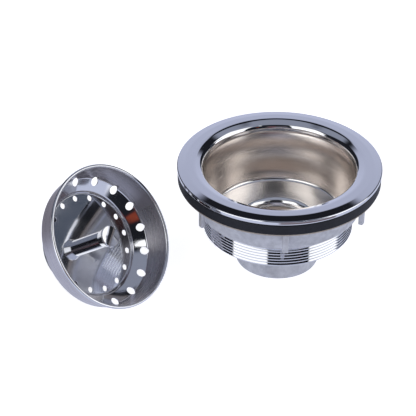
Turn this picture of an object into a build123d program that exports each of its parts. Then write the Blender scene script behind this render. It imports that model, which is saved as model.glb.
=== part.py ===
from build123d import *
import os
from math import asin, atan2, cos, degrees, hypot, radians, sin, tan

# Basket strainer waste for a 90 mm sink hole, with its lift-out basket lying beside it.
# Lengths are millimetres. The waste's axis is Z and Z = 0 is the surface it stands on,
# at the outlet lip. The basket is drawn upright on its own axis, then laid on its side.

# Clearances
FACE_GAP = 0.1            # between flat faces that bear on each other on moving pieces
SEAT_GAP = 0.02           # between faces that are clamped or pressed together
THREAD_CLEARANCE = 0.3    # radial, nut bore to thread crest
SLIP = 0.1                # radial, a washer or sleeve on its stud

# Strainer body: flange, neck, cup and outside thread
FLANGE_D = 114.3
FLANGE_TOP = 63.0         # crown of the flange above the outlet lip
FLANGE_T = 3.6            # crown to the seating face under the flange
RIM_SLOPE_W = 4.75        # level crown's outer edge to the rim
RIM_SLOPE = 10.0          # degrees
RIM_BREAK_FILLET = 8.0
RIM_FILLET = 0.6
RIM_UNDER_FILLET = 1.2
THROAT_SLOPE_W = 5.1      # level crown's inner edge to the mouth of the cup
THROAT_SLOPE = 20.0       # degrees
THROAT_BREAK_FILLET = 3.0
THROAT_LIP_FILLET = 2.4
THROAT_R = 42.6           # mouth of the cup
THROAT_DEPTH = 5.8        # crown to where the cup starts to narrow
THROAT_FOOT_FILLET = 1.5
NECK_R = 44.0
THREAD_R = 42.4           # crest of the outside thread
THREAD_PITCH = 1.814      # 14 threads to the inch
THREAD_DEPTH = 0.9
THREAD_START = 0.6        # plain length before the first ridge
BODY_BOTTOM = 22.7
CUP_WALL_MIN = 1.1        # between the thread's root and the inside, under the neck
CUP_FOOT_R = 38.4         # inside, at the corner of wall and floor
CUP_FOOT_Z = 27.0
CUP_FOOT_FILLET = 2.0
CUP_WALL_FILLET = 8.0     # where the wall turns out to the throat
CUP_TURN_DROP = 1.0       # that turn, below the neck's foot
CUP_FLOOR_SLOPE = 8.0     # degrees, falling to the outlet

# Clamping pieces under the flange
GASKET_R = 56.85
GASKET_T = 5.8
GASKET_SLIP = 0.5         # radial, gasket and ring over the neck
GASKET_EDGE = 0.4
RING_R = 56.4
RING_T = 0.9

# Lock nut, a die casting with six lugs
NUT_RING_R = 52.2
NUT_RING_T = 2.6
NUT_HUB_TOP_R = 49.3
NUT_HUB_FOOT_R = 46.1
NUT_H = 15.4
LUG_COUNT = 6
LUG_FIRST = -84.8         # degrees about Z
LUG_W = 3.2
LUG_T = 2.6
LUG_L = 11.8              # below the ring
LUG_INSET = 0.1           # inside the ring's edge and top
LUG_FILLET = 0.5

# Outlet spud, flared into the cup's floor
DRAIN_R = 18.0
SPUD_NECK_R = 21.0
SPUD_LIP_R = 22.4
SPUD_LIP_T = 0.9
SPUD_LIP_EDGE = 0.2       # upright edge left on the rounded lip
SEAT_DEPTH = 4.2
SPUD_COLLAR_R = 24.6
SPUD_COLLAR_T = 2.4
SPUD_THREAD_R = 22.0

# Coupling nut and its washer
COUPLING_CORNER_R = 25.4
COUPLING_SIDES = 8
COUPLING_TURN = 31.0      # degrees about Z of the first corner
COUPLING_H = 18.6
COUPLING_LIP_R = 23.5
COUPLING_CHAMFER_H = 5.0
COUPLING_LIP_T = 2.4
OUTLET_R = 19.3           # opening for a 38 mm tail pipe
TAIL_WASHER_T = 2.4

# Basket bowl, one pressing 0.7 mm thick; depths are below the rim's top
SHEET = 0.7
BASKET_R = 40.55
BASKET_BEAD_R = 0.95      # rolled edge
BEAD_LAP = 0.45           # outside of the bead to the outside of the sheet under it
BAND_DEPTH = 14.9         # rim to the outside corner of the band
BAND_CORNER_R = 36.95
BAND_FILLET = 2.4
SHOULDER_SLOPE = 31.0     # degrees below level
SHOULDER_END_R = 30.1
SHOULDER_FILLET = 1.2
FLOOR_DEPTH = 20.9        # rim to the underside of the floor
FLOOR_R = 29.2
FLOOR_FILLET = 1.4
HOLE_COUNT = 16           # in each of the two rings
HOLE_FIRST = 7.5          # degrees
BIG_HOLE_D = 4.5
BIG_HOLE_RING_R = 34.85
SMALL_HOLE_D = 3.3
SMALL_HOLE_RING_R = 26.3

# Post, stopper and what holds them
KNOB_TOP = 1.2            # below the rim's top
KNOB_R = 6.05
KNOB_DOME = 0.35
KNOB_EDGE = 0.9
KNOB_CHAMFER = 0.3
KNOB_TAPER_END = 7.6
POST_R = 4.7
STUD_R = 2.5
STUD_IN_POST = 9.0
STUD_TOP_SPARE = 0.5      # drilled depth left above the stud
DRILL_TIP = 1.5
STUD_END_SPARE = 1.2
HUB_WASHER_R = 8.0
HUB_WASHER_T = 1.0
SLEEVE_R = 5.0
SLEEVE_L = 7.6
BACKING_R = 13.0
BACKING_T = 1.0
STOPPER_R = 22.0
STOPPER_T = 5.0
STOPPER_EDGE_R = 1.5
STOPPER_TOP_TAPER = 1.4
STOPPER_DISH = 1.2
STOPPER_FOOT_W = 4.0      # flat rim round the dish
STOPPER_TOP_FILLET = 0.8
STOPPER_SIDE_FILLET = 1.2
STOPPER_DISH_FILLET = 1.5
KEEPER_ROOM = 2.0         # radial, keeper to the side of the dish
KEEPER_R = 8.5
KEEPER_T = 1.2
HEX_FLATS = 8.0
HEX_H = 4.0

# Where the basket lies
BASKET_X = -89.8
BASKET_Y = -40.9
BASKET_BEARING = 32.1     # degrees from +X towards -Y that its mouth faces
FLOOR_CLEAR = 0.15        # stopper's edge above the surface

# Heights that follow from the sizes above
flange_under = FLANGE_TOP - FLANGE_T
gasket_top = flange_under - FACE_GAP
ring_top = gasket_top - GASKET_T - SEAT_GAP
nut_top = ring_top - RING_T - FACE_GAP
thread_root_r = THREAD_R - THREAD_DEPTH
cup_floor_tan = tan(radians(CUP_FLOOR_SLOPE))
spud_hole_r = SPUD_NECK_R + SEAT_GAP
floor_at_spud = CUP_FOOT_Z - (CUP_FOOT_R - SPUD_LIP_R) * cup_floor_tan
collar_top = BODY_BOTTOM - SEAT_GAP
spud_bore_top = floor_at_spud + SPUD_LIP_T - SEAT_DEPTH
washer_bottom = COUPLING_LIP_T + FACE_GAP
washer_top = washer_bottom + TAIL_WASHER_T
spud_end = washer_top + FACE_GAP


def turned(*lines):
    """Solid of revolution about Z from lines in the XZ plane that close a section."""
    return revolve(Plane.XZ * make_face(Curve() + list(lines)), Axis.Z)


def ring(inner_r, outer_r, bottom, top, edge=0.0):
    """Flat ring, with its outer edges rounded when edge is given."""
    body = turned(Polyline((inner_r, bottom), (outer_r, bottom), (outer_r, top), (inner_r, top), close=True))
    if edge > 0:
        body = fillet([e for e in body.edges().filter_by(GeomType.CIRCLE) if e.radius > outer_r - 0.01], edge)
    return body


def thread_points(crest_r, root_r, low, high):
    """V ridges from low to high, one for each whole pitch that fits, ending at the root."""
    count = int((high - low) / THREAD_PITCH)
    start = high - count * THREAD_PITCH
    points = []
    for i in range(count):
        points.append((root_r, start + i * THREAD_PITCH))
        points.append((crest_r, start + (i + 0.5) * THREAD_PITCH))
    points.append((root_r, high))
    return points


def strainer_body():
    """Flange, sloping throat, tapered cup with sloping floor, neck and outside thread."""
    rim_r = FLANGE_D / 2
    rim_z = FLANGE_TOP - RIM_SLOPE_W * tan(radians(RIM_SLOPE))
    throat_z = FLANGE_TOP - THROAT_SLOPE_W * tan(radians(THROAT_SLOPE))
    neck_foot = nut_top + FACE_GAP
    cup_top_r = thread_root_r - CUP_WALL_MIN
    hole_z = CUP_FOOT_Z - (CUP_FOOT_R - spud_hole_r) * cup_floor_tan
    corners = [
        ((spud_hole_r, hole_z), 0),
        ((CUP_FOOT_R, CUP_FOOT_Z), CUP_FOOT_FILLET),
        ((cup_top_r, neck_foot - CUP_TURN_DROP), CUP_WALL_FILLET),
        ((THROAT_R, FLANGE_TOP - THROAT_DEPTH), THROAT_FOOT_FILLET),
        ((THROAT_R, throat_z), THROAT_LIP_FILLET),
        ((THROAT_R + THROAT_SLOPE_W, FLANGE_TOP), THROAT_BREAK_FILLET),
        ((rim_r - RIM_SLOPE_W, FLANGE_TOP), RIM_BREAK_FILLET),
        ((rim_r, rim_z), RIM_FILLET),
        ((rim_r, flange_under), RIM_UNDER_FILLET),
        ((NECK_R, flange_under), 0),
    ]
    shown = FilletPolyline(*[at for at, _ in corners], radius=[size for _, size in corners[1:-1]])
    screw = thread_points(THREAD_R, thread_root_r, BODY_BOTTOM + THREAD_START, neck_foot)
    hidden = Polyline(
        (NECK_R, flange_under),
        (NECK_R, neck_foot),
        *reversed(screw),
        (thread_root_r, BODY_BOTTOM),
        (spud_hole_r, BODY_BOTTOM),
        (spud_hole_r, hole_z),
    )
    return turned(shown, hidden)


def outlet_spud():
    """Threaded outlet, put in from below and flared over the floor to make the stopper's seat."""
    lip_top = floor_at_spud + SPUD_LIP_T
    spud_root_r = SPUD_THREAD_R - THREAD_DEPTH
    lip_under_neck = CUP_FOOT_Z - (CUP_FOOT_R - SPUD_NECK_R) * cup_floor_tan + SEAT_GAP
    mouth_h = lip_top - SPUD_LIP_EDGE - spud_bore_top
    mouth = EllipticalCenterArc((SPUD_LIP_R, spud_bore_top), SPUD_LIP_R - DRAIN_R, mouth_h, 90, arc_size=90)
    screw = thread_points(SPUD_THREAD_R, spud_root_r, spud_end + THREAD_START, collar_top - SPUD_COLLAR_T)
    outside = Polyline(
        mouth @ 0,
        (SPUD_LIP_R, floor_at_spud + SEAT_GAP),
        (SPUD_NECK_R, lip_under_neck),
        (SPUD_NECK_R, collar_top),
        (SPUD_COLLAR_R, collar_top),
        (SPUD_COLLAR_R, collar_top - SPUD_COLLAR_T),
        *reversed(screw),
        (spud_root_r, spud_end),
        (DRAIN_R, spud_end),
        mouth @ 1,
    )
    return turned(mouth, outside)


def lock_nut():
    """Die-cast ring on a tapered hub, with lugs that hang from the ring clear of the hub."""
    bore = THREAD_R + THREAD_CLEARANCE
    ring_foot = nut_top - NUT_RING_T
    foot = nut_top - NUT_H
    nut = turned(
        Polyline(
            (bore, nut_top),
            (bore, foot),
            (NUT_HUB_FOOT_R, foot),
            (NUT_HUB_TOP_R, ring_foot),
            (NUT_RING_R, ring_foot),
            (NUT_RING_R, nut_top),
            close=True,
        )
    )
    lug_h = LUG_L + NUT_RING_T - LUG_INSET
    lug_r = NUT_RING_R - LUG_INSET - LUG_T / 2
    lug = Pos(lug_r, 0, nut_top - LUG_INSET - lug_h / 2) * Box(LUG_T, LUG_W, lug_h)
    lug = fillet(lug.edges().filter_by(Axis.Z) + lug.faces().sort_by(Axis.Z)[0].edges(), LUG_FILLET)
    for i in range(LUG_COUNT):
        nut += Rot(0, 0, LUG_FIRST + i * 360 / LUG_COUNT) * lug
    return nut


def coupling_nut():
    """Eight-sided nut, chamfered to a round lip that carries the tail washer."""
    bore = SPUD_THREAD_R + THREAD_CLEARANCE
    spread = (COUPLING_CORNER_R - COUPLING_LIP_R) * COUPLING_H / COUPLING_CHAMFER_H
    prism = extrude(Rot(0, 0, COUPLING_TURN) * RegularPolygon(COUPLING_CORNER_R, COUPLING_SIDES), COUPLING_H)
    cone = turned(
        Polyline(
            (0, 0),
            (COUPLING_LIP_R, 0),
            (COUPLING_LIP_R + spread, COUPLING_H),
            (0, COUPLING_H),
            close=True,
        )
    )
    hollow = turned(
        Polyline(
            (0, 0),
            (OUTLET_R, 0),
            (OUTLET_R, COUPLING_LIP_T),
            (bore, COUPLING_LIP_T),
            (bore, COUPLING_H),
            (0, COUPLING_H),
            close=True,
        )
    )
    return (prism & cone) - hollow


def basket_path():
    """Outside of the bowl's section from the rim to the middle, with its fillet radii."""
    end_depth = BAND_DEPTH + (BAND_CORNER_R - SHOULDER_END_R) * tan(radians(SHOULDER_SLOPE))
    start = (BASKET_R - BEAD_LAP, -BASKET_BEAD_R)
    points = [
        start,
        (BAND_CORNER_R, -BAND_DEPTH),
        (SHOULDER_END_R, -end_depth),
        (FLOOR_R, -FLOOR_DEPTH),
        (STUD_R + SLIP, -FLOOR_DEPTH),
    ]
    return points, [BAND_FILLET, SHOULDER_FILLET, FLOOR_FILLET]


def basket_bowl():
    """Pressed bowl with a rolled edge, a plain band, and two rings of punched holes."""
    points, radii = basket_path()
    outer = FilletPolyline(*points, radius=radii)
    section = make_face(offset(outer, SHEET, side=Side.RIGHT, closed=True))
    bead = Pos(BASKET_R - BASKET_BEAD_R, -BASKET_BEAD_R) * Circle(BASKET_BEAD_R)
    bowl = revolve(Plane.XZ * (section + bead), Axis.Z)
    punches = []
    for ring_r, size in ((BIG_HOLE_RING_R, BIG_HOLE_D), (SMALL_HOLE_RING_R, SMALL_HOLE_D)):
        punch = Pos(ring_r, 0, -FLOOR_DEPTH) * Cylinder(size / 2, FLOOR_DEPTH)
        for i in range(HOLE_COUNT):
            punches.append(Rot(0, 0, HOLE_FIRST + i * 360 / HOLE_COUNT) * punch)
    return bowl - punches


def post_knob():
    """Turned post: mushroom knob, tapered neck and plain shank, drilled for the stud."""
    foot = -FLOOR_DEPTH + SHEET + SEAT_GAP
    drilled = foot + STUD_IN_POST
    edge_top = -KNOB_TOP - KNOB_DOME
    dome_mid = (KNOB_R * 0.5, -KNOB_TOP - KNOB_DOME * 0.25)
    dome = ThreePointArc((0, -KNOB_TOP), dome_mid, (KNOB_R - KNOB_CHAMFER, edge_top))
    side = Polyline(
        dome @ 1,
        (KNOB_R, edge_top - KNOB_CHAMFER),
        (KNOB_R, edge_top - KNOB_EDGE),
        (POST_R, -KNOB_TAPER_END),
        (POST_R, foot),
        (STUD_R + SEAT_GAP, foot),
        (STUD_R + SEAT_GAP, drilled),
        (0, drilled + DRILL_TIP),
        (0, -KNOB_TOP),
    )
    return turned(dome, side)


def stopper():
    """Rubber disc with a tapered top, a rounded edge and a shallow dish underneath."""
    top = -stopper_top_depth
    bottom = top - STOPPER_T
    bore = STUD_R + SLIP
    outside = FilletPolyline(
        (bore, top),
        (STOPPER_R - STOPPER_TOP_TAPER, top),
        (STOPPER_R, top - STOPPER_T * 0.5),
        (STOPPER_R, bottom),
        (STOPPER_R - STOPPER_FOOT_W, bottom),
        (KEEPER_R + KEEPER_ROOM, bottom + STOPPER_DISH),
        (bore, bottom + STOPPER_DISH),
        radius=[
            STOPPER_TOP_FILLET,
            STOPPER_SIDE_FILLET,
            STOPPER_EDGE_R,
            STOPPER_DISH_FILLET,
            STOPPER_DISH_FILLET,
        ],
    )
    return turned(outside, Line((bore, bottom + STOPPER_DISH), (bore, top)))


def hex_nut(top):
    blank = Pos(0, 0, top - HEX_H) * extrude(RegularPolygon(HEX_FLATS / 2, 6, major_radius=False), HEX_H)
    return blank - Pos(0, 0, top - HEX_H / 2) * Cylinder(STUD_R + SEAT_GAP, HEX_H)


# Depths down the basket's axis, each piece bearing on the one above
hub_washer_top = FLOOR_DEPTH + SEAT_GAP
sleeve_top = hub_washer_top + HUB_WASHER_T + SEAT_GAP
backing_top = sleeve_top + SLEEVE_L + SEAT_GAP
stopper_top_depth = backing_top + BACKING_T + SEAT_GAP
keeper_top = stopper_top_depth + STOPPER_T - STOPPER_DISH + SEAT_GAP
hex_top = keeper_top + KEEPER_T + SEAT_GAP
stud_end = hex_top + HEX_H + STUD_END_SPARE


def lying_tilt():
    """Angle of the basket's axis above level when it lies on its band and its stopper's edge."""
    wall = atan2(BASKET_R - BEAD_LAP - BAND_CORNER_R, BAND_DEPTH - BASKET_BEAD_R)
    half_turn = (radians(90 - SHOULDER_SLOPE) - wall) / 2
    middle = wall + half_turn
    reach = BAND_FILLET / cos(half_turn)
    band_r = BAND_CORNER_R - reach * cos(middle)
    band_depth = BAND_DEPTH - reach * sin(middle)
    edge_r = STOPPER_R - STOPPER_EDGE_R
    edge_depth = stopper_top_depth + STOPPER_T - STOPPER_EDGE_R
    along = edge_depth - band_depth
    across = edge_r - band_r
    rise = BAND_FILLET - STOPPER_EDGE_R - FLOOR_CLEAR
    return degrees(asin(rise / hypot(along, across)) - atan2(across, along))


def laid(pieces):
    """Turn upright basket pieces to lie on the surface, mouth up and towards the waste's front."""
    tilt = radians(lying_tilt())
    bearing = radians(BASKET_BEARING)
    mouth = Vector(cos(tilt) * cos(bearing), -cos(tilt) * sin(bearing), sin(tilt))
    across = Vector(-sin(bearing), -cos(bearing), 0)
    place = Plane(origin=(BASKET_X, BASKET_Y, 0), x_dir=across, z_dir=mouth).location
    turned_over = {name: place * piece for name, piece in pieces.items()}
    lift = -turned_over["basket_bowl"].bounding_box().min.Z
    return {name: Pos(0, 0, lift) * piece for name, piece in turned_over.items()}


def waste_pieces():
    neck_bore = NECK_R + GASKET_SLIP
    return {
        "strainer_body": strainer_body(),
        "outlet_spud": outlet_spud(),
        "rubber_gasket": ring(neck_bore, GASKET_R, gasket_top - GASKET_T, gasket_top, GASKET_EDGE),
        "friction_ring": ring(neck_bore, RING_R, ring_top - RING_T, ring_top),
        "lock_nut": lock_nut(),
        "coupling_nut": coupling_nut(),
        "tail_washer": ring(OUTLET_R, SPUD_THREAD_R - SLIP, washer_bottom, washer_top),
    }


def basket_pieces():
    bore = STUD_R + SLIP
    stud_top = -FLOOR_DEPTH + SHEET + STUD_IN_POST - STUD_TOP_SPARE
    return {
        "basket_bowl": basket_bowl(),
        "post_knob": post_knob(),
        "post_stud": Pos(0, 0, (stud_top - stud_end) / 2) * Cylinder(STUD_R, stud_top + stud_end),
        "hub_washer": ring(bore, HUB_WASHER_R, -hub_washer_top - HUB_WASHER_T, -hub_washer_top),
        "spacer_sleeve": ring(bore, SLEEVE_R, -sleeve_top - SLEEVE_L, -sleeve_top),
        "backing_washer": ring(bore, BACKING_R, -backing_top - BACKING_T, -backing_top),
        "rubber_stopper": stopper(),
        "keeper_washer": ring(bore, KEEPER_R, -keeper_top - KEEPER_T, -keeper_top),
        "stopper_nut": hex_nut(-hex_top),
    }


if __name__ == "__main__":
    os.makedirs("parts", exist_ok=True)
    pieces = waste_pieces()
    pieces.update(laid(basket_pieces()))
    for name, piece in pieces.items():
        export_step(piece, f"parts/{name}.step")
    print("basket tilt", round(lying_tilt(), 2))
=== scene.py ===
from math import acos, asin, atan2, cos, degrees, hypot, pi, radians, sin, tan

import bmesh
import bpy
import numpy as np
from mathutils import Matrix, Vector


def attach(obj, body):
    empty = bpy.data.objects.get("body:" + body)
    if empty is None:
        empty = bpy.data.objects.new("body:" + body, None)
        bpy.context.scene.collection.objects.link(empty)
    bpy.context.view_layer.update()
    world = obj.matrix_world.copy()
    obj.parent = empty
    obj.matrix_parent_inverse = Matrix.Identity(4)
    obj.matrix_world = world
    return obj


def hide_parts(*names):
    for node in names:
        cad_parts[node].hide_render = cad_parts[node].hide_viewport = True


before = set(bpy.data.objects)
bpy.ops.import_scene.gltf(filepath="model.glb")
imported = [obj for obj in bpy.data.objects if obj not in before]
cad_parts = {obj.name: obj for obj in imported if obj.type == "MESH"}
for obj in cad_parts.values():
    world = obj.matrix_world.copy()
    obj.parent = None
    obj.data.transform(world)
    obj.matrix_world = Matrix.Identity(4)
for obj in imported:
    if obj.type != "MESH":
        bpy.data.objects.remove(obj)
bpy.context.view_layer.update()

# Lengths are millimetres and angles degrees; meshes are made in metres
MM = 0.001

# Sizes that the solids have otherwise, or not at all
THROAT_BREAK_FILLET = 6.0   # 3.0 in the solids
THROAT_LIP_FILLET = 2.9     # 2.4 in the solids
SEAT_DEPTH = 6.4            # 4.2 in the solids
CUP_TURN_REACH = 13.0       # length of the cup's wall that bends below its turn
THREAD_SHOWN = 0.6          # depth of the body's helix, whose flanks then mirror the studio
UNDER_HELIX = 0.03          # a shaft's surface lies this far inside its helix
FACET_TRIM = 0.006          # keeps fine facets inside the box of the solids' coarser ones
RING_EDGE = 0.15            # none in the solids

# The other sizes have the values that they have in the solids; these are the clearances
FACE_GAP = 0.1              # between flat faces that bear on each other on moving pieces
SEAT_GAP = 0.02             # between faces that are clamped or pressed together
THREAD_CLEARANCE = 0.3
SLIP = 0.1                  # radial, a washer or sleeve on its stud

# Strainer body
FLANGE_D = 114.3
FLANGE_TOP = 63.0
FLANGE_T = 3.6
RIM_SLOPE_W = 4.75
RIM_SLOPE = 10.0
RIM_BREAK_FILLET = 8.0
RIM_FILLET = 0.6
RIM_UNDER_FILLET = 1.2
THROAT_SLOPE_W = 5.1
THROAT_SLOPE = 20.0
THROAT_R = 42.6
THROAT_DEPTH = 5.8
NECK_R = 44.0
THREAD_R = 42.4
THREAD_PITCH = 1.814
THREAD_DEPTH = 0.9
BODY_BOTTOM = 22.7
CUP_WALL_MIN = 1.1
CUP_FOOT_R = 38.4
CUP_FOOT_Z = 27.0
CUP_FOOT_FILLET = 2.0
CUP_TURN_DROP = 1.0
CUP_FLOOR_SLOPE = 8.0

# Gasket and friction ring
GASKET_R = 56.85
GASKET_T = 5.8
GASKET_SLIP = 0.5
GASKET_EDGE = 0.4
RING_R = 56.4
RING_T = 0.9

# Lock nut with its lugs
NUT_RING_R = 52.2
NUT_RING_T = 2.6
NUT_HUB_TOP_R = 49.3
NUT_HUB_FOOT_R = 46.1
NUT_H = 15.4
LUG_COUNT = 6
LUG_FIRST = -84.8
LUG_W = 3.2
LUG_T = 2.6
LUG_L = 11.8
LUG_INSET = 0.1
LUG_FILLET = 0.5

# Outlet spud
DRAIN_R = 18.0
SPUD_NECK_R = 21.0
SPUD_LIP_R = 22.4
SPUD_LIP_T = 0.9
SPUD_LIP_EDGE = 0.2
SPUD_COLLAR_R = 24.6
SPUD_COLLAR_T = 2.4
SPUD_THREAD_R = 22.0

# Coupling nut and its washer
COUPLING_CORNER_R = 25.4
COUPLING_SIDES = 8
COUPLING_TURN = 31.0
COUPLING_H = 18.6
COUPLING_LIP_R = 23.5
COUPLING_CHAMFER_H = 5.0
COUPLING_LIP_T = 2.4
OUTLET_R = 19.3
TAIL_WASHER_T = 2.4

# Basket bowl; depths are below the rim's top
SHEET = 0.7
BASKET_R = 40.55
BASKET_BEAD_R = 0.95
BEAD_LAP = 0.45
BAND_DEPTH = 14.9
BAND_CORNER_R = 36.95
BAND_FILLET = 2.4
SHOULDER_SLOPE = 31.0
SHOULDER_END_R = 30.1
SHOULDER_FILLET = 1.2
FLOOR_DEPTH = 20.9
FLOOR_R = 29.2
FLOOR_FILLET = 1.4
HOLE_COUNT = 16
HOLE_FIRST = 7.5
BIG_HOLE_D = 4.5
BIG_HOLE_RING_R = 34.85
SMALL_HOLE_D = 3.3
SMALL_HOLE_RING_R = 26.3

# Post and stopper
KNOB_TOP = 1.2
KNOB_R = 6.05
KNOB_DOME = 0.35
KNOB_EDGE = 0.9
KNOB_CHAMFER = 0.3
KNOB_TAPER_END = 7.6
POST_R = 4.7
STUD_R = 2.5
STUD_IN_POST = 9.0
DRILL_TIP = 1.5
HUB_WASHER_T = 1.0
SLEEVE_L = 7.6
BACKING_T = 1.0
STOPPER_R = 22.0
STOPPER_T = 5.0
STOPPER_EDGE_R = 1.5
STOPPER_TOP_TAPER = 1.4
STOPPER_DISH = 1.2
STOPPER_FOOT_W = 4.0
STOPPER_TOP_FILLET = 0.8
STOPPER_SIDE_FILLET = 1.2
STOPPER_DISH_FILLET = 1.5
KEEPER_ROOM = 2.0
KEEPER_R = 8.5

# Where the basket lies
BASKET_X = -89.8
BASKET_Y = -40.9
BASKET_BEARING = 32.1
FLOOR_CLEAR = 0.15

# Heights and radii that follow from the sizes above
flange_under = FLANGE_TOP - FLANGE_T
gasket_top = flange_under - FACE_GAP
ring_top = gasket_top - GASKET_T - SEAT_GAP
nut_top = ring_top - RING_T - FACE_GAP
neck_foot = nut_top + FACE_GAP
thread_root_r = THREAD_R - THREAD_DEPTH
cup_floor_tan = tan(radians(CUP_FLOOR_SLOPE))
spud_hole_r = SPUD_NECK_R + SEAT_GAP
floor_at_spud = CUP_FOOT_Z - (CUP_FOOT_R - SPUD_LIP_R) * cup_floor_tan
collar_top = BODY_BOTTOM - SEAT_GAP
spud_bore_top = floor_at_spud + SPUD_LIP_T - SEAT_DEPTH
spud_end = COUPLING_LIP_T + FACE_GAP + TAIL_WASHER_T + FACE_GAP
stopper_top_depth = FLOOR_DEPTH + HUB_WASHER_T + SLEEVE_L + BACKING_T + 4 * SEAT_GAP


# Sections: lists of (radius, height) points

ARC_STEP = 7.0          # degrees between the points of a rounded corner
ARC_PARTS_MIN = 8
ARC_REACH = 0.61        # share of a side that a corner's round may take
ARC_LEAD = 0.05         # short straight piece before and after a round, which keeps flats flat
ARC_LEAD_SHARE = 0.2    # and its largest share of the round's reach


def ellipse_arc(cx, cz, rx, rz, start, end, steps):
    """Points of an ellipse's arc from start to end."""
    turns = [radians(start + (end - start) * i / steps) for i in range(steps + 1)]
    return [(cx + rx * cos(a), cz + rz * sin(a)) for a in turns]


def corner_arc(before, corner, after, radius):
    """Arc that rounds a corner, with its short leads."""
    a, b, c = Vector(before), Vector(corner), Vector(after)
    to_a, to_c = (a - b).normalized(), (c - b).normalized()
    half = acos(max(-1.0, min(1.0, to_a.dot(to_c)))) / 2
    reach = min(radius / tan(half), (a - b).length * ARC_REACH, (c - b).length * ARC_REACH)
    radius = reach * tan(half)
    centre = b + (to_a + to_c).normalized() * (radius / sin(half))
    first, last = b + to_a * reach, b + to_c * reach
    start = atan2(first.y - centre.y, first.x - centre.x)
    sweep = atan2(last.y - centre.y, last.x - centre.x) - start
    sweep = (sweep + pi) % (2 * pi) - pi
    steps = max(ARC_PARTS_MIN, round(abs(degrees(sweep)) / ARC_STEP))
    turns = [start + sweep * i / steps for i in range(steps + 1)]
    arc = [(centre.x + radius * cos(turn), centre.y + radius * sin(turn)) for turn in turns]
    lead = min(ARC_LEAD, reach * ARC_LEAD_SHARE)
    return [tuple(first + to_a * lead)] + arc + [tuple(last + to_c * lead)]


def rounded_line(points, radii):
    """Open line with its inner corners rounded; a radius of 0 keeps a corner."""
    line = [points[0]]
    for i, radius in enumerate(radii):
        if radius > 0:
            line += corner_arc(points[i], points[i + 1], points[i + 2], radius)
        else:
            line.append(points[i + 1])
    return line + [points[-1]]


def rounded_loop(points, radii):
    """Closed outline with all its corners rounded."""
    loop = []
    for i, radius in enumerate(radii):
        loop += corner_arc(points[i - 1], points[i], points[(i + 1) % len(points)], radius)
    return loop


# Meshes

SHARP_ANGLE = 32.0          # a wider angle between two faces shows as an edge
HELIX_SHARP_ANGLE = 60.0
LUG_SHARP_ANGLE = 40.0
MERGE_DISTANCE = 1e-7

# V thread across one pitch: (share of the pitch from its middle, share of its depth)
THREAD_PROFILE = [(-0.5, 0.0), (-0.22, 0.9), (-0.2, 0.96), (-0.18, 1.0),
                  (0.12, 1.0), (0.14, 0.96), (0.16, 0.9), (0.5, 0.0)]
THREAD_RUNOUT = 0.16        # of a turn, over which the thread fades at its top


def link_mesh(name, mesh):
    obj = bpy.data.objects.new(name, mesh)
    bpy.context.scene.collection.objects.link(obj)
    return obj


def link_bmesh(name, bm):
    """Object from a bmesh, which ends here."""
    mesh = bpy.data.meshes.new(name)
    bm.to_mesh(mesh)
    bm.free()
    return link_mesh(name, mesh)


def shade(mesh, sharp_angle):
    """Smooth shading that keeps sharp edges sharp."""
    mesh.polygons.foreach_set("use_smooth", [True] * len(mesh.polygons))
    mesh.set_sharp_from_angle(angle=radians(sharp_angle))


def new_object(name, verts, faces, materials, slots=None, matrix=None, sharp_angle=SHARP_ANGLE):
    """Object from points in millimetres, with outward normals."""
    mesh = bpy.data.meshes.new(name)
    mesh.from_pydata([(x * MM, y * MM, z * MM) for x, y, z in verts], [], faces)
    for kind in materials:
        mesh.materials.append(kind)
    if slots is not None:
        mesh.polygons.foreach_set("material_index", slots)
    bm = bmesh.new()
    bm.from_mesh(mesh)
    bmesh.ops.remove_doubles(bm, verts=bm.verts, dist=MERGE_DISTANCE)
    bmesh.ops.recalc_face_normals(bm, faces=bm.faces)
    bm.to_mesh(mesh)
    bm.free()
    shade(mesh, sharp_angle)
    if matrix is not None:
        mesh.transform(matrix)
    return link_mesh(name, mesh)


def lathe_data(section, segments, radius_at=None):
    """Points and quads of a closed section turned about Z, and the section row of each quad."""
    count = len(section)
    verts, faces, rows = [], [], []
    for j in range(segments):
        turn = 2 * pi * j / segments
        for r, z in section:
            radius = radius_at(r, z, turn) if radius_at else r
            verts.append((radius * cos(turn), radius * sin(turn), z))
    for j in range(segments):
        here, there = j * count, (j + 1) % segments * count
        for i in range(count):
            m = (i + 1) % count
            faces.append((here + i, there + i, there + m, here + m))
            rows.append(i)
    return verts, faces, rows


def helix_data(crest_r, root_r, foot, high, segments):
    """Points and quads of a right-hand thread, cut off at its foot and fading at its top."""
    low = foot - THREAD_PITCH
    turns = (high - low) / THREAD_PITCH - 1
    columns = int(turns * segments)
    verts, faces = [], []
    for j in range(columns + 1):
        share = j / columns
        turn = 2 * pi * turns * share
        middle = low + THREAD_PITCH / 2 + turns * THREAD_PITCH * share
        fade = min(1.0, (columns - j) / (segments * THREAD_RUNOUT))
        for offset, height in THREAD_PROFILE:
            r = root_r + (crest_r - root_r) * height * fade
            z = max(middle + offset * THREAD_PITCH, foot)
            verts.append((r * cos(turn), r * sin(turn), z))
    width = len(THREAD_PROFILE)
    for j in range(columns):
        for i in range(width - 1):
            a = j * width + i
            faces.append((a, a + width, a + width + 1, a + 1))
    return verts, faces


def lathe(name, section, materials, segments, slot_at=None, matrix=None, radius_at=None, thread=None):
    """Turned piece; slot_at gives the slot at the middle of a stretch of the section, radius_at
    changes a radius by its turn, and thread holds helix_data's values."""
    verts, faces, rows = lathe_data(section, segments, radius_at)
    slots = [0] * len(faces)
    if slot_at:
        ends = zip(section, section[1:] + section[:1])
        kinds = [slot_at((a[0] + b[0]) / 2, (a[1] + b[1]) / 2) for a, b in ends]
        slots = [kinds[row] for row in rows]
    obj = new_object(name, verts, faces, materials, slots, matrix)
    if thread:
        helix_verts, helix_faces = helix_data(*thread)
        helix = new_object(name + "_ridge", helix_verts, helix_faces, materials[:1], None, matrix,
                           HELIX_SHARP_ANGLE)
        join(obj, helix)
    return obj


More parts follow.
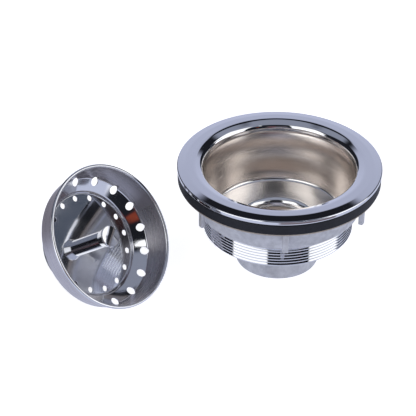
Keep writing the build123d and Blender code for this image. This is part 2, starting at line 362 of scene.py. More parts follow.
def join(obj, *others):
    """Joins the other objects into obj."""
    with bpy.context.temp_override(active_object=obj, selected_editable_objects=[obj, *others]):
        bpy.ops.object.join()
    return obj


def place(obj, body, slot, *nodes):
    """Rides the piece on its body in place of the solids that it stands for."""
    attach(obj, body)
    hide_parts(*nodes)


def dress(kind, *nodes):
    """Gives solids that stay as they are their material."""
    for node in nodes:
        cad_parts[node].data.materials.clear()
        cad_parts[node].data.materials.append(kind)


def lying_place():
    """Where the basket's own axes lie, worked out as the solids do."""
    wall = atan2(BASKET_R - BEAD_LAP - BAND_CORNER_R, BAND_DEPTH - BASKET_BEAD_R)
    half_turn = (radians(90 - SHOULDER_SLOPE) - wall) / 2
    middle = wall + half_turn
    reach = BAND_FILLET / cos(half_turn)
    band_r = BAND_CORNER_R - reach * cos(middle)
    band_depth = BAND_DEPTH - reach * sin(middle)
    edge_r = STOPPER_R - STOPPER_EDGE_R
    edge_depth = stopper_top_depth + STOPPER_T - STOPPER_EDGE_R
    along, across = edge_depth - band_depth, edge_r - band_r
    rise = BAND_FILLET - STOPPER_EDGE_R - FLOOR_CLEAR
    tilt = asin(rise / hypot(along, across)) - atan2(across, along)
    bearing = radians(BASKET_BEARING)
    height = band_depth * sin(tilt) + band_r * cos(tilt) + BAND_FILLET
    mouth = Vector((cos(tilt) * cos(bearing), -cos(tilt) * sin(bearing), sin(tilt)))
    side = Vector((-sin(bearing), -cos(bearing), 0))
    other = mouth.cross(side)
    matrix = Matrix((side, other, mouth)).transposed().to_4x4()
    matrix.translation = Vector((BASKET_X, BASKET_Y, height)) * MM
    return matrix


lying = lying_place()


# Materials: noise scales are per metre, and bump distances are given in millimetres

class Nodes:
    """Short ways to add and join shader nodes in one material or world."""

    def __init__(self, tree):
        self.tree = tree

    def add(self, kind, inputs=None, **settings):
        node = self.tree.nodes.new(kind)
        for name, value in settings.items():
            setattr(node, name, value)
        for key, value in (inputs or {}).items():
            if isinstance(value, bpy.types.NodeSocket):
                self.tree.links.new(value, node.inputs[key])
            else:
                node.inputs[key].default_value = value
        return node

    def link(self, shader, **sockets):
        """Links values to the shader's sockets, whose names have _ for a space."""
        for socket, value in sockets.items():
            self.tree.links.new(value, shader.inputs[socket.replace("_", " ")])

    def math(self, operation, a, b=0.0):
        return self.add("ShaderNodeMath", {0: a, 1: b}, operation=operation).outputs[0]

    def blend(self, a, share_a, b, share_b):
        return self.math("ADD", self.math("MULTIPLY", a, share_a), self.math("MULTIPLY", b, share_b))

    def noise(self, vector, scale, detail=2.0, roughness=0.5):
        made = self.add("ShaderNodeTexNoise", {"Vector": vector, "Scale": scale, "Detail": detail,
                                               "Roughness": roughness})
        return made.outputs["Fac"]

    def span(self, value, low, high, to_low, to_high, **settings):
        made = self.add("ShaderNodeMapRange", {"Value": value, "From Min": low, "From Max": high,
                                               "To Min": to_low, "To Max": to_high}, **settings)
        return made.outputs["Result"]

    def mix(self, share, a, b):
        return self.add("ShaderNodeMix", {0: share, 6: a, 7: b}, data_type="RGBA").outputs[2]

    def bump(self, height, strength, distance, normal=None):
        inputs = {"Height": height, "Strength": strength, "Distance": distance * MM}
        if normal is not None:
            inputs["Normal"] = normal
        return self.add("ShaderNodeBump", inputs).outputs["Normal"]


def material(name, color, roughness, metallic=0.0, **sockets):
    """Principled material, its shader and its node helper."""
    made = bpy.data.materials.new(name)
    made.use_nodes = True
    shader = made.node_tree.nodes["Principled BSDF"]
    shader.inputs["Base Color"].default_value = (*color, 1.0)
    shader.inputs["Roughness"].default_value = roughness
    shader.inputs["Metallic"].default_value = metallic
    for socket, value in sockets.items():
        shader.inputs[socket.replace("_", " ")].default_value = value
    return made, shader, Nodes(made.node_tree)


def tint(nodes, shader, dark, light, share):
    nodes.link(shader, Base_Color=nodes.mix(share, (*dark, 1.0), (*light, 1.0)))


def own_vector(nodes, matrix=None):
    """Object coordinates, or those on a laid piece's own axes when its matrix is given."""
    at = nodes.add("ShaderNodeTexCoord").outputs["Object"]
    if matrix is None:
        return at
    back = {"Vector": at, "Location": matrix.translation, "Rotation": matrix.to_euler()}
    return nodes.add("ShaderNodeMapping", back, vector_type="TEXTURE").outputs[0]


def turned_vector(nodes, around=0.6, matrix=None):
    """Radius, a little angle and height, which draw a noise out along the direction of turning."""
    parts = nodes.add("ShaderNodeSeparateXYZ", {0: own_vector(nodes, matrix)}).outputs
    flat = nodes.add("ShaderNodeCombineXYZ", {0: parts[0], 1: parts[1]}).outputs[0]
    radius = nodes.add("ShaderNodeVectorMath", {0: flat}, operation="LENGTH").outputs["Value"]
    turn = nodes.math("MULTIPLY", nodes.math("ARCTAN2", parts[1], parts[0]), around * MM)
    return nodes.add("ShaderNodeCombineXYZ", {0: radius, 1: turn, 2: parts[2]}).outputs[0]


def turned_tangent(nodes, matrix=None):
    """Direction of turning about Z, or about a laid piece's own axis."""
    axis = matrix.col[2].xyz if matrix else Vector((0, 0, 1))
    middle = matrix.translation if matrix else Vector((0, 0, 0))
    out = nodes.add("ShaderNodeVectorMath", {0: own_vector(nodes), 1: middle}, operation="SUBTRACT")
    around = nodes.add("ShaderNodeVectorMath", {0: axis, 1: out.outputs[0]}, operation="CROSS_PRODUCT")
    return around.outputs[0]


def polished(name, dark, light, rough, wave=0.15, matrix=None):
    """Mirror finish: cloudy roughness, faint waviness and hairline polishing marks."""
    made, shader, nodes = material(name, light, rough[0], metallic=1.0)
    at = own_vector(nodes)
    cloud = nodes.noise(at, scale=60.0, detail=3.0)
    tint(nodes, shader, dark, light, cloud)
    lines = nodes.noise(turned_vector(nodes, matrix=matrix), scale=2600.0, detail=2.0, roughness=0.7)
    swell = nodes.bump(nodes.noise(at, scale=110.0, detail=1.0), wave, distance=0.02)
    nodes.link(shader,
               Roughness=nodes.math("ADD", nodes.span(cloud, 0.3, 0.7, *rough),
                                    nodes.span(lines, 0.45, 0.8, 0.0, 0.03)),
               Normal=nodes.bump(lines, 0.25, distance=0.002, normal=swell))
    return made


def brushed(name, dark, light, rough, grain, depth, anisotropic, matrix=None):
    """Turned or brushed finish: lines round the axis in colour, roughness and bump."""
    made, shader, nodes = material(name, light, rough[0], metallic=1.0, Anisotropic=anisotropic)
    at = turned_vector(nodes, around=1.2, matrix=matrix)
    fine = nodes.noise(at, scale=grain, detail=3.0, roughness=0.75)
    broad = nodes.noise(at, scale=grain * 0.16, detail=2.0, roughness=0.6)
    cloud = nodes.noise(own_vector(nodes), scale=70.0, detail=3.0)
    lines = nodes.blend(fine, 0.5, broad, 0.5)
    share = nodes.blend(lines, 0.7, cloud, 0.3)
    tint(nodes, shader, dark, light, nodes.span(share, 0.32, 0.68, 0.0, 1.0))
    nodes.link(shader,
               Tangent=turned_tangent(nodes, matrix),
               Roughness=nodes.span(lines, 0.3, 0.7, *rough),
               Normal=nodes.bump(fine, 0.5, depth))
    return made


def cast(name, dark, light, rough):
    """Die-cast skin: mottled, finely grained, with a few darker flow marks."""
    made, shader, nodes = material(name, light, rough[0], metallic=0.6)
    at = own_vector(nodes)
    mottle = nodes.noise(at, scale=240.0, detail=5.0, roughness=0.62)
    flow = nodes.noise(at, scale=45.0, detail=2.0)
    share = nodes.blend(mottle, 0.6, flow, 0.4)
    tint(nodes, shader, dark, light, nodes.span(share, 0.36, 0.62, 0.0, 1.0))
    grain = nodes.noise(at, scale=1500.0, detail=3.0, roughness=0.6)
    skin = nodes.math("ADD", grain, nodes.math("MULTIPLY", mottle, 1.5))
    nodes.link(shader,
               Roughness=nodes.span(mottle, 0.35, 0.65, rough[1], rough[0]),
               Normal=nodes.bump(skin, 0.45, distance=0.06))
    return made


def moulded(name, dark, light, rough, grain, depth, specular=0.5):
    """Rubber, fibre or plastic: speckled colour and a fine skin."""
    made, shader, nodes = material(name, light, rough[0], Specular_IOR_Level=specular)
    at = own_vector(nodes)
    speck = nodes.noise(at, scale=grain, detail=4.0, roughness=0.65)
    bloom = nodes.noise(at, scale=80.0, detail=3.0)
    share = nodes.blend(speck, 0.55, bloom, 0.45)
    tint(nodes, shader, dark, light, nodes.span(share, 0.35, 0.65, 0.0, 1.0))
    nodes.link(shader,
               Roughness=nodes.span(bloom, 0.3, 0.7, *rough),
               Normal=nodes.bump(speck, 0.5, depth))
    return made


chrome = polished("chrome_polished", (0.72, 0.73, 0.76), (0.76, 0.77, 0.80), rough=(0.015, 0.04))
satin = brushed("cup_satin", (0.81, 0.76, 0.715), (0.97, 0.91, 0.865), rough=(0.20, 0.29),
                grain=1500.0, depth=0.010, anisotropic=0.75)
cup_floor = brushed("cup_floor_satin", (0.78, 0.765, 0.75), (0.92, 0.905, 0.895),
                    rough=(0.10, 0.17), grain=1500.0, depth=0.006, anisotropic=0.3)
seat = polished("seat_polished", (0.82, 0.82, 0.82), (0.90, 0.90, 0.90), rough=(0.10, 0.18))
rubber = moulded("rubber_black", (0.008, 0.009, 0.013), (0.020, 0.022, 0.030),
                 rough=(0.50, 0.66), grain=900.0, depth=0.05, specular=0.3)
fibre = moulded("fibre_tan", (0.34, 0.29, 0.25), (0.58, 0.52, 0.46),
                rough=(0.75, 0.9), grain=700.0, depth=0.08, specular=0.2)
zinc = cast("zinc_cast", (0.49, 0.495, 0.52), (0.68, 0.685, 0.705), rough=(0.42, 0.56))
washer_white = moulded("washer_plastic", (0.66, 0.66, 0.62), (0.80, 0.80, 0.77),
                       rough=(0.40, 0.5), grain=500.0, depth=0.01)
steel_band = brushed("steel_brushed", (0.44, 0.42, 0.44), (0.60, 0.58, 0.60), rough=(0.24, 0.32),
                     grain=2200.0, depth=0.006, anisotropic=0.6, matrix=lying)
steel_polished = polished("steel_polished", (0.66, 0.67, 0.70), (0.74, 0.75, 0.78),
                          rough=(0.045, 0.09), wave=0.5, matrix=lying)
steel_plain = brushed("steel_plain", (0.44, 0.44, 0.46), (0.62, 0.62, 0.64), rough=(0.22, 0.32),
                      grain=2200.0, depth=0.008, anisotropic=0.3, matrix=lying)


# Strainer body

WALL_PARTS = 24         # points along the bend of the cup's wall
OUTSIDE_MARGIN = 0.2    # keeps the radii of the outside apart from the cup wall's


def body_section():
    rim_r = FLANGE_D / 2 - FACET_TRIM
    rim_z = FLANGE_TOP - RIM_SLOPE_W * tan(radians(RIM_SLOPE))
    throat_z = FLANGE_TOP - THROAT_SLOPE_W * tan(radians(THROAT_SLOPE))
    hole_z = CUP_FOOT_Z - (CUP_FOOT_R - spud_hole_r) * cup_floor_tan
    foot = Vector((CUP_FOOT_R, CUP_FOOT_Z))
    turn = Vector((thread_root_r - CUP_WALL_MIN, neck_foot - CUP_TURN_DROP))
    mouth = Vector((THROAT_R, FLANGE_TOP - THROAT_DEPTH))
    low = turn + (foot - turn).normalized() * CUP_TURN_REACH
    shares = [i / WALL_PARTS for i in range(WALL_PARTS)]
    wall = [low * (1 - t) ** 2 + turn * 2 * t * (1 - t) + mouth * t * t for t in shares]
    floor = rounded_line([(spud_hole_r, hole_z), tuple(foot), tuple(low)], [CUP_FOOT_FILLET])
    lip = rounded_line(
        [tuple(wall[-1]), tuple(mouth), (THROAT_R, throat_z), (THROAT_R + THROAT_SLOPE_W, FLANGE_TOP),
         (rim_r - RIM_SLOPE_W, FLANGE_TOP), (rim_r, rim_z), (rim_r, flange_under),
         (NECK_R, flange_under)],
        [0, THROAT_LIP_FILLET, THROAT_BREAK_FILLET, RIM_BREAK_FILLET, RIM_FILLET, RIM_UNDER_FILLET],
    )
    shaft_r = THREAD_R - THREAD_SHOWN - UNDER_HELIX
    outside = [(NECK_R, neck_foot), (shaft_r, neck_foot), (shaft_r, BODY_BOTTOM),
               (spud_hole_r, BODY_BOTTOM)]
    return floor[:-1] + [tuple(point) for point in wall[:-1]] + lip + outside


def body_slot(r, z):
    """Polished plate, with satin on the cup's wall and a finer satin on its floor."""
    outside_r = thread_root_r - OUTSIDE_MARGIN if z <= neck_foot else (THROAT_R + NECK_R) / 2
    if z > FLANGE_TOP - THROAT_DEPTH or r > outside_r or r == spud_hole_r or z == BODY_BOTTOM:
        return 0
    return 2 if z < CUP_FOOT_Z + CUP_FOOT_FILLET else 1


body_helix = (THREAD_R, THREAD_R - THREAD_SHOWN, BODY_BOTTOM, neck_foot, 300)
body = lathe("strainer_body_plated", body_section(), [chrome, satin, cup_floor], segments=384,
             slot_at=body_slot, thread=body_helix)
place(body, "root", "plated_body", "strainer_body")


# Outlet spud

SEAT_PARTS = 24


def spud_section():
    mouth_h = SEAT_DEPTH - SPUD_LIP_EDGE
    mouth = ellipse_arc(SPUD_LIP_R, spud_bore_top, SPUD_LIP_R - DRAIN_R, mouth_h, 180, 90, SEAT_PARTS)
    under_lip_z = CUP_FOOT_Z - (CUP_FOOT_R - SPUD_NECK_R) * cup_floor_tan + SEAT_GAP
    thread_top = collar_top - SPUD_COLLAR_T
    shaft_r = SPUD_THREAD_R - THREAD_DEPTH - UNDER_HELIX
    outside = [(SPUD_LIP_R, floor_at_spud + SEAT_GAP), (SPUD_NECK_R, under_lip_z),
               (SPUD_NECK_R, collar_top), (SPUD_COLLAR_R, collar_top), (SPUD_COLLAR_R, thread_top),
               (shaft_r, thread_top), (shaft_r, spud_end), (DRAIN_R, spud_end)]
    return mouth + outside


spud_helix = (SPUD_THREAD_R, SPUD_THREAD_R - THREAD_DEPTH, spud_end, collar_top - SPUD_COLLAR_T, 200)
spud = lathe("outlet_spud_turned", spud_section(), [seat], segments=300, thread=spud_helix)
place(spud, "root", "plated_spud", "outlet_spud")


# Gasket and friction ring

def neck_ring(name, outer_r, thickness, top, edge, kind, segments):
    """Flat ring with rounded edges, loose round the neck."""
    inner_r, bottom = NECK_R + GASKET_SLIP, top - thickness
    outline = [(inner_r, bottom), (outer_r, bottom), (outer_r, top), (inner_r, top)]
    return lathe(name, rounded_loop(outline, [edge] * 4), [kind], segments)


gasket = neck_ring("gasket_rubber", GASKET_R, GASKET_T, gasket_top, GASKET_EDGE, rubber, 360)
place(gasket, "clamp_stack", "black_rubber", "rubber_gasket")
ring = neck_ring("friction_ring_fibre", RING_R, RING_T, ring_top, RING_EDGE, fibre, 300)
place(ring, "clamp_stack", "fibre", "friction_ring")


# Lock nut

NUT_EDGE_RADII = [0.3, 0.4, 0.5, 0.8, 0.45, 0.3]    # from the bore's top down and round the outside


def lug(turn):
    """Hanging lug, with every edge but its upper ones rounded."""
    size = Vector((LUG_T, LUG_W, LUG_L + NUT_RING_T - 2 * LUG_INSET))
    middle = Vector((NUT_RING_R - LUG_INSET - LUG_T / 2, 0, nut_top - (NUT_RING_T + LUG_L) / 2))
    bm = bmesh.new()
    bmesh.ops.create_cube(bm, size=1.0)
    for v in bm.verts:
        v.co = v.co * size * MM
    edges = [e for e in bm.edges if min(v.co.z for v in e.verts) < 0]
    bmesh.ops.bevel(bm, geom=edges, offset=LUG_FILLET * MM, segments=4, profile=0.5, affect="EDGES")
    bm.transform(Matrix.Rotation(radians(turn), 4, "Z") @ Matrix.Translation(middle * MM))
    obj = link_bmesh("lug", bm)
    obj.data.materials.append(zinc)
    shade(obj.data, LUG_SHARP_ANGLE)
    return obj


def lock_nut():
    bore = THREAD_R + THREAD_CLEARANCE
    ring_foot = nut_top - NUT_RING_T
    foot = nut_top - NUT_H
    outline = [(bore, nut_top), (bore, foot), (NUT_HUB_FOOT_R, foot), (NUT_HUB_TOP_R, ring_foot),
               (NUT_RING_R, ring_foot), (NUT_RING_R, nut_top)]
    nut = lathe("lock_nut_cast", rounded_loop(outline, NUT_EDGE_RADII), [zinc], segments=360)
    return join(nut, *[lug(LUG_FIRST + i * 360 / LUG_COUNT) for i in range(LUG_COUNT)])


place(lock_nut(), "clamp_nut", "cast_zinc", "lock_nut")


# Coupling nut

COUPLING_CORNER_TRIM = 0.08     # taken off the corners between the flats
COUPLING_BORE_ROOM = 0.2        # rows up to this far outside the bore stay round
CONE_START, CONE_STEP, CONE_ROWS = 0.35, 0.235, 20      # heights of the rows on the chamfer
FLAT_ROWS = (5.2, 9.0)                                  # heights of the rows on the flats

# Its broken edges
TOP_SIDE, TOP_DROP, TOP_BREAK, TOP_SLOPE_W = 0.5, 0.15, 0.15, 2.5
LIP_BREAK_W, LIP_BREAK_H = 0.25, 0.12
OUTLET_BREAK, BORE_BREAK = 0.3, 0.1


def coupling_nut():
    """Nut turned as a lathe does, with its radii cut back to eight flats."""
    bore = SPUD_THREAD_R + THREAD_CLEARANCE
    lip, corner, top = COUPLING_LIP_R, COUPLING_CORNER_R, COUPLING_H
    flat = corner * cos(pi / COUPLING_SIDES)
    slope = (corner - lip) / COUPLING_CHAMFER_H

    def radius_at(r, z, turn):
        if r < bore + COUPLING_BORE_ROOM:
            return r
        side = 2 * pi / COUPLING_SIDES
        beside = (turn - radians(COUPLING_TURN)) % side - side / 2
        return min(r, flat / cos(beside), corner - COUPLING_CORNER_TRIM)

    heights = [CONE_START + CONE_STEP * i for i in range(CONE_ROWS)]
    outline = [(OUTLET_R + OUTLET_BREAK, 0.0), (lip - LIP_BREAK_W, 0.0), (lip, LIP_BREAK_H)]
    outline += [(lip + slope * z, z) for z in heights] + [(corner, z) for z in FLAT_ROWS]
    outline += [(corner, top - TOP_SIDE), (corner - TOP_BREAK, top - TOP_DROP),
                (corner - TOP_SLOPE_W, top), (bore + BORE_BREAK, top), (bore, top - BORE_BREAK),
                (bore, COUPLING_LIP_T), (OUTLET_R, COUPLING_LIP_T), (OUTLET_R, OUTLET_BREAK)]
    return lathe("coupling_nut_cast", outline, [zinc], segments=512, radius_at=radius_at)


place(coupling_nut(), "tail_nut", "cast_zinc", "coupling_nut")
dress(washer_white, "tail_washer")


# Basket bowl, made upright on its own axis and then laid on its side

BRUSHED_FOOT = 0.9      # inside, the brushed finish ends this far above the band's corner
BRUSHED_SIDE = 0.3      # outside, it goes on round the corner until it is this much narrower
BEAD_PARTS = 36
BEAD_HALVINGS = 40      # of the stretch in which the sheet leaves the bead
HOLE_PARTS = 48
NORMAL_SMOOTH = 30.0    # turns of the section below this angle are shaded smooth
FACING_COST = 0.3       # millimetres added for a section row that faces another way
FACING = 0.7            # cosine above which a face counts as lying on the turned surface
TINY = 1e-9


def bowl_section():
    """Closed outline of the pressing with its rolled edge."""
    end_depth = BAND_DEPTH + (BAND_CORNER_R - SHOULDER_END_R) * tan(radians(SHOULDER_SLOPE))
    bore = STUD_R + SLIP
    rim_r = BASKET_R - FACET_TRIM
    corners = [(rim_r - BEAD_LAP, -BASKET_BEAD_R), (BAND_CORNER_R, -BAND_DEPTH),
               (SHOULDER_END_R, -end_depth), (FLOOR_R, -FLOOR_DEPTH), (bore, -FLOOR_DEPTH)]
    outer = rounded_line(corners, [BAND_FILLET, SHOULDER_FILLET, FLOOR_FILLET])
    inner = []
    for i, point in enumerate(outer):
        a = Vector(outer[max(0, i - 1)])
        b = Vector(outer[min(len(outer) - 1, i + 1)])
        along = (b - a).normalized()
        inner.append((point[0] + along.y * SHEET, point[1] - along.x * SHEET))
    centre = Vector((rim_r - BASKET_BEAD_R, -BASKET_BEAD_R))

    def leaves(line):
        """Point where the line's first stretch leaves the bead's circle."""
        a, b = Vector(line[0]), Vector(line[1])
        low, high = 0.0, 1.0
        for _ in range(BEAD_HALVINGS):
            mid = (low + high) / 2
            if (a.lerp(b, mid) - centre).length < BASKET_BEAD_R:
                low = mid
            else:
                high = mid
        return a.lerp(b, low)

    out_point, in_point = leaves(outer), leaves(inner)
    start = degrees(atan2(out_point.y - centre.y, out_point.x - centre.x))
    end = degrees(atan2(in_point.y - centre.y, in_point.x - centre.x)) % 360
    bead = ellipse_arc(centre.x, centre.y, BASKET_BEAD_R, BASKET_BEAD_R, start, end, BEAD_PARTS)
    return outer[:0:-1] + bead + inner[1:]


def bowl_slot(r, z):
    """Brushed on the band, inside and out, and polished on the rim, shoulder and floor."""
    if z > -2 * BASKET_BEAD_R:
        return 1
    return 0 if z > -BAND_DEPTH + BRUSHED_FOOT or r > BAND_CORNER_R - BRUSHED_SIDE else 1


def hole_places():
    """Middle and diameter of every hole in the two rings."""
    places = []
    for ring_r, size in ((BIG_HOLE_RING_R, BIG_HOLE_D), (SMALL_HOLE_RING_R, SMALL_HOLE_D)):
        for i in range(HOLE_COUNT):
            turn = radians(HOLE_FIRST + i * 360 / HOLE_COUNT)
            places.append((ring_r * cos(turn), ring_r * sin(turn), size))
    return places


def basket_bowl():
    section = bowl_section()
    bowl = lathe("basket_bowl_pressed", section, [steel_band, steel_polished], segments=360,
                 slot_at=bowl_slot)
    punches = []
    for x, y, size in hole_places():
        bm = bmesh.new()
        bmesh.ops.create_cone(bm, cap_ends=True, segments=HOLE_PARTS, radius1=size / 2 * MM,
                              radius2=size / 2 * MM, depth=FLOOR_DEPTH * MM)
        bm.transform(Matrix.Translation(Vector((x, y, -FLOOR_DEPTH)) * MM))
        punches.append(link_bmesh("punch", bm))
    join(*punches)
    cut = bowl.modifiers.new("holes", "BOOLEAN")
    cut.operation = "DIFFERENCE"
    cut.solver = "EXACT"
    cut.object = punches[0]
    with bpy.context.temp_override(object=bowl, active_object=bowl):
        bpy.ops.object.modifier_apply(modifier="holes")
    bpy.data.objects.remove(punches[0])
    set_bowl_normals(bowl.data, section)
    bowl.data.transform(lying)
    return bowl


def unit(vectors):
    return vectors / np.maximum(np.linalg.norm(vectors, axis=1), TINY)[:, None]


def dots(a, b):
    return np.einsum("ij,ij->i", a, b)


def mesh_array(items, name, width, kind=float):
    """One property of a mesh's items as an array with a row for each."""
    values = np.empty(len(items) * width, kind)
    items.foreach_get(name, values)
    return values.reshape(-1, width)


def set_bowl_normals(mesh, section):
    """True normals of the turned surface on the pressing, and of the punch in its holes."""
    ends = np.array(section)
    starts = np.roll(ends, 1, axis=0)
    along = ends - starts
    length = np.maximum(np.linalg.norm(along, axis=1), TINY)
    facets = np.stack([along[:, 1], -along[:, 0]], axis=1) / length[:, None]
    after = np.roll(facets, -1, axis=0)
    smooth = (dots(facets, after) > cos(radians(NORMAL_SMOOTH)))[:, None]
    mixed = unit(facets + after)
    end_normal = np.where(smooth, mixed, facets)
    start_normal = np.roll(np.where(smooth, mixed, after), 1, axis=0)

    corner_verts = mesh_array(mesh.loops, "vertex_index", 1, np.int32)[:, 0]
    at = mesh_array(mesh.vertices, "co", 3)[corner_verts] / MM
    corner_counts = mesh_array(mesh.polygons, "loop_total", 1, np.int32)[:, 0]
    facing = np.repeat(mesh_array(mesh.polygons, "normal", 3), corner_counts, axis=0)

    radius = np.maximum(np.hypot(at[:, 0], at[:, 1]), TINY)
    outward = at[:, :2] / radius[:, None]
    points = np.stack([radius, at[:, 2]], axis=1)
    facing_flat = np.stack([dots(outward, facing[:, :2]), facing[:, 2]], axis=1)
    best = np.full(len(at), np.inf)
    chosen = np.zeros((len(at), 2))
    for i in range(len(ends)):
        share = np.clip(((points - starts[i]) @ along[i]) / length[i] ** 2, 0, 1)
        gap = np.linalg.norm(points - (starts[i] + share[:, None] * along[i]), axis=1)
        gap += FACING_COST * (1 - np.abs(facing_flat @ facets[i]))
        near = gap < best
        best[near] = gap[near]
        share = share[near, None]
        chosen[near] = unit(start_normal[i] * (1 - share) + end_normal[i] * share)
    normals = np.concatenate([outward * chosen[:, :1], chosen[:, 1:]], axis=1)

    centres = np.array([place[:2] for place in hole_places()])
    hole = np.argmin(np.linalg.norm(at[:, None, :2] - centres[None], axis=2), axis=1)
    inward = np.zeros((len(at), 3))
    inward[:, :2] = centres[hole] - at[:, :2]
    inward = unit(inward)
    lies = dots(normals, facing)
    normals[lies < -FACING] *= -1
    in_hole = np.abs(lies) < FACING
    on_wall = in_hole & (np.abs(dots(inward, facing)) > FACING)
    normals[in_hole] = facing[in_hole]
    normals[on_wall] = inward[on_wall]
    mesh.normals_split_custom_set(normals.tolist())


place(basket_bowl(), "root", "pressed_steel", "basket_bowl")


# Post and stopper

DOME_PARTS = 24
KNOB_EDGE_RADII = [0.15, 0.25, 1.5]     # above and below the knob's edge, and where its taper ends


def knob_section():
    foot = -FLOOR_DEPTH + SHEET + SEAT_GAP
    edge_top = -KNOB_TOP - KNOB_DOME
    rim = KNOB_R - KNOB_CHAMFER
    dome_r = (rim * rim + KNOB_DOME * KNOB_DOME) / (2 * KNOB_DOME)
    radii = [rim * i / DOME_PARTS for i in range(DOME_PARTS + 1)]
    dome = [(r, -KNOB_TOP - dome_r + (dome_r ** 2 - r ** 2) ** 0.5) for r in radii]
    side = rounded_line(
        [dome[-1], (KNOB_R, edge_top - KNOB_CHAMFER), (KNOB_R, edge_top - KNOB_EDGE),
         (POST_R, -KNOB_TAPER_END), (POST_R, foot)],
        KNOB_EDGE_RADII,
    )
    bore = STUD_R + SEAT_GAP
    drilled = [(bore, foot), (bore, foot + STUD_IN_POST), (0.0, foot + STUD_IN_POST + DRILL_TIP)]
    return dome[:-1] + side + drilled


post = lathe("post_knob_turned", knob_section(), [steel_polished], segments=240, matrix=lying)
place(post, "root", "polished_post", "post_knob")


def stopper_section():
    top = -stopper_top_depth
    bottom = top - STOPPER_T
    dish = bottom + STOPPER_DISH
    bore = STUD_R + SLIP
    side_r = STOPPER_R - FACET_TRIM
    return rounded_line(
        [(bore, top), (STOPPER_R - STOPPER_TOP_TAPER, top), (side_r, top - STOPPER_T / 2),
         (side_r, bottom), (STOPPER_R - STOPPER_FOOT_W, bottom), (KEEPER_R + KEEPER_ROOM, dish),
         (bore, dish)],
        [STOPPER_TOP_FILLET, STOPPER_SIDE_FILLET, STOPPER_EDGE_R, STOPPER_DISH_FILLET,
         STOPPER_DISH_FILLET],
    )


stopper = lathe("stopper_rubber", stopper_section(), [rubber], segments=240, matrix=lying)
place(stopper, "root", "black_rubber", "rubber_stopper")
dress(steel_plain, "post_stud", "hub_washer", "spacer_sleeve", "backing_washer", "keeper_washer",
      "stopper_nut")


# Floor

FLOOR_SIZE = 3000.0
FLOOR_HEIGHT = -0.2
OUTLET_DISC_HEIGHT = 0.05
OUTLET_DISC_INSET = 0.1


def stage_surface(name, material_name, bm, height, dark, light, glow, strength):
    """Speckled surface with a light of its own, which isn't part of the object."""
    surface = link_bmesh(name, bm)
    surface.location = (0, 0, height * MM)
    made, shader, nodes = material(material_name, light, 0.9, Emission_Strength=strength)
    shader.inputs["Emission Color"].default_value = (*glow, 1)
    tint(nodes, shader, dark, light, nodes.noise(own_vector(nodes), scale=400.0))
    surface.data.materials.append(made)
    return surface


def build_floor():
    """White floor that only the camera sees, as reflections take the studio below level."""
    bm = bmesh.new()
    bmesh.ops.create_grid(bm, x_segments=2, y_segments=2, size=FLOOR_SIZE * MM)
    floor = stage_surface("floor", "floor_pale", bm, FLOOR_HEIGHT, dark=(0.89, 0.89, 0.9),
                          light=(0.91, 0.91, 0.91), glow=(1, 1, 1), strength=0.8)
    floor.visible_glossy = False
    floor.visible_diffuse = False


def build_floor_in_outlet():
    """Dark disc under the waste, seen through its outlet, which it closes to the light; its darkness
    is painted shade and its warm glow painted light, both standing in for the shaded floor there.
    """
    bm = bmesh.new()
    bmesh.ops.create_circle(bm, cap_ends=True, segments=96, radius=(OUTLET_R - OUTLET_DISC_INSET) * MM)
    # painted shade and painted light: a dark disc with a warm glow in place of the floor in the
    # waste's shadow
    stage_surface("floor_in_outlet", "floor_painted_shade", bm, OUTLET_DISC_HEIGHT, dark=(0.28, 0.28, 0.28),
                  light=(0.32, 0.32, 0.32), glow=(0.27, 0.205, 0.17), strength=1.0)


# Studio, as seen from the object: each part has its azimuths from +Y towards +X, its heights above
# level, a softness and a light, and covers the parts before it. A height of BELOW has no lower edge.
BELOW = -20
ROOM_LIGHT = (0.014, 0.015, 0.020)
GREY_PANEL = (0.31, 0.335, 0.42)
DIM_ROOM = (0.10, 0.088, 0.10)
SOFT_LIGHT = (1.45, 1.45, 1.47)
STUDIO = [
    ((28, 138), (47.5, 80), 2.5, GREY_PANEL),             # panel above, on the right
    ((-95, -28), (47.5, 72), 2.5, GREY_PANEL),            # the same on the left
    ((-200, 200), (64, 100), 2.5, GREY_PANEL),            # ceiling
    ((160, 200), (BELOW, 34), 3, DIM_ROOM),               # room behind the camera
    ((-200, -170), (BELOW, 34), 3, DIM_ROOM),
    ((-27, 23), (BELOW, 44), 2, (0.50, 0.53, 0.68)),      # backdrop
    ((75, 127), (BELOW, 27), 2, SOFT_LIGHT),              # soft light on the right
    ((66, 127), (25, 56), 2, SOFT_LIGHT),
    ((60, 88), (18.5, 25), 1, (0.085, 0.10, 0.135)),      # gap between its panels
    ((-164, -115), (BELOW, 30), 2, SOFT_LIGHT),           # soft light on the left
    ((-164, -108), (28, 58), 2, SOFT_LIGHT),
    ((139, 145), (51.5, 57), 1, (2.2, 2.2, 2.2)),         # narrow light beside the camera
    ((143, 147), (25, 33), 1.5, (0.28, 0.055, 0.03)),     # warm wood beside the camera
    ((162, 173), (7, 18), 2, (0.20, 0.035, 0.04)),
]
LEVEL_GAIN, HIGH_GAIN, HIGH_FROM = 1.25, 0.94, 44.0     # all of it is stronger near level

# Floor's light in reflections, and darker parts of the table, at heights below level
FLOOR_LIGHT = (0.66, 0.70, 0.87)
FLOOR_FROM, FLOOR_FULL = -1.0, -6.0
TABLE_SIDE_SOFTNESS = 3
TABLE = [
    ((112, 178), (-38, -30), 1.5, (0.20, 0.165, 0.19)),   # front edge
    ((-88, -20), (-24, -9), 3, (0.26, 0.25, 0.30)),       # far left end
]


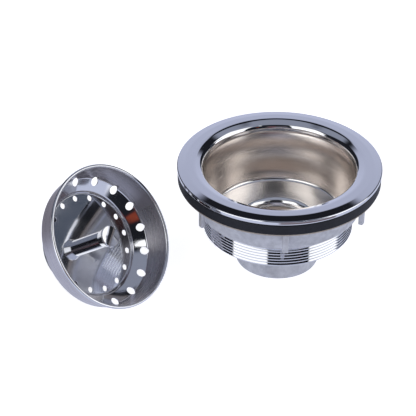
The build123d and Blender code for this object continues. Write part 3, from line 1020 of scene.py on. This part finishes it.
def build_world():
    """Studio seen in reflections, and plain white straight behind the object."""
    world = bpy.data.worlds.new("studio")
    bpy.context.scene.world = world
    world.use_nodes = True
    nodes = Nodes(world.node_tree)
    ray = nodes.add("ShaderNodeTexCoord").outputs["Generated"]
    x, y, z = nodes.add("ShaderNodeSeparateXYZ", {0: ray}).outputs
    level = nodes.math("DEGREES", nodes.math("ARCSINE", z))
    height = nodes.math("ABSOLUTE", level)
    azimuth = nodes.math("DEGREES", nodes.math("ARCTAN2", x, y))

    def between(value, low, high, soft):
        smooth = {"interpolation_type": "SMOOTHSTEP"}
        rise = nodes.span(value, low - soft, low + soft, 0.0, 1.0, **smooth)
        fall = nodes.span(value, high - soft, high + soft, 1.0, 0.0, **smooth)
        return nodes.math("MULTIPLY", rise, fall)

    sky = (*ROOM_LIGHT, 1)
    for azimuths, heights, soft, light in STUDIO:
        mask = nodes.math("MULTIPLY", between(azimuth, *azimuths, soft),
                          between(height, *heights, soft))
        sky = nodes.mix(mask, sky, (*light, 1))
    gain = nodes.span(height, 0.0, HIGH_FROM, LEVEL_GAIN, HIGH_GAIN)
    lit = nodes.add("ShaderNodeVectorMath", {0: sky, "Scale": gain}, operation="SCALE").outputs[0]
    lit = nodes.mix(nodes.span(level, FLOOR_FROM, FLOOR_FULL, 0.0, 1.0), lit, (*FLOOR_LIGHT, 1))
    for azimuths, heights, soft, light in TABLE:
        mask = nodes.math("MULTIPLY", between(azimuth, *azimuths, TABLE_SIDE_SOFTNESS),
                          between(level, *heights, soft))
        lit = nodes.mix(mask, lit, (*light, 1))
    seen = nodes.add("ShaderNodeLightPath").outputs["Is Camera Ray"]
    nodes.link(world.node_tree.nodes["Background"], Color=nodes.mix(seen, lit, (1, 1, 1, 1)))


build_floor()
build_floor_in_outlet()
build_world()


# Camera

CAMERA_AT = (0.0, -0.73083, 0.52811)    # metres
CAMERA_PITCH, CAMERA_YAW, CAMERA_ROLL = radians(34.191), radians(-3.12), radians(0.134)
CAMERA_LENS, CAMERA_SENSOR = 134.53, 36.0
CAMERA_NEAR, CAMERA_FAR = 0.05, 20.0    # metres


def build_camera():
    forward = Vector((sin(CAMERA_YAW) * cos(CAMERA_PITCH), cos(CAMERA_YAW) * cos(CAMERA_PITCH),
                      -sin(CAMERA_PITCH)))
    right = Vector((cos(CAMERA_YAW), -sin(CAMERA_YAW), 0))
    up = right.cross(forward)
    turned_right = right * cos(CAMERA_ROLL) + up * sin(CAMERA_ROLL)
    turned_up = up * cos(CAMERA_ROLL) - right * sin(CAMERA_ROLL)
    data = bpy.data.cameras.new("camera")
    data.lens = CAMERA_LENS
    data.sensor_width = CAMERA_SENSOR
    data.clip_start = CAMERA_NEAR
    data.clip_end = CAMERA_FAR
    camera = bpy.data.objects.new("camera", data)
    camera.matrix_world = Matrix((turned_right, turned_up, -forward)).transposed().to_4x4()
    camera.location = CAMERA_AT
    bpy.context.scene.collection.objects.link(camera)
    bpy.context.scene.camera = camera


build_camera()
bpy.context.scene.view_settings.view_transform = "Standard"
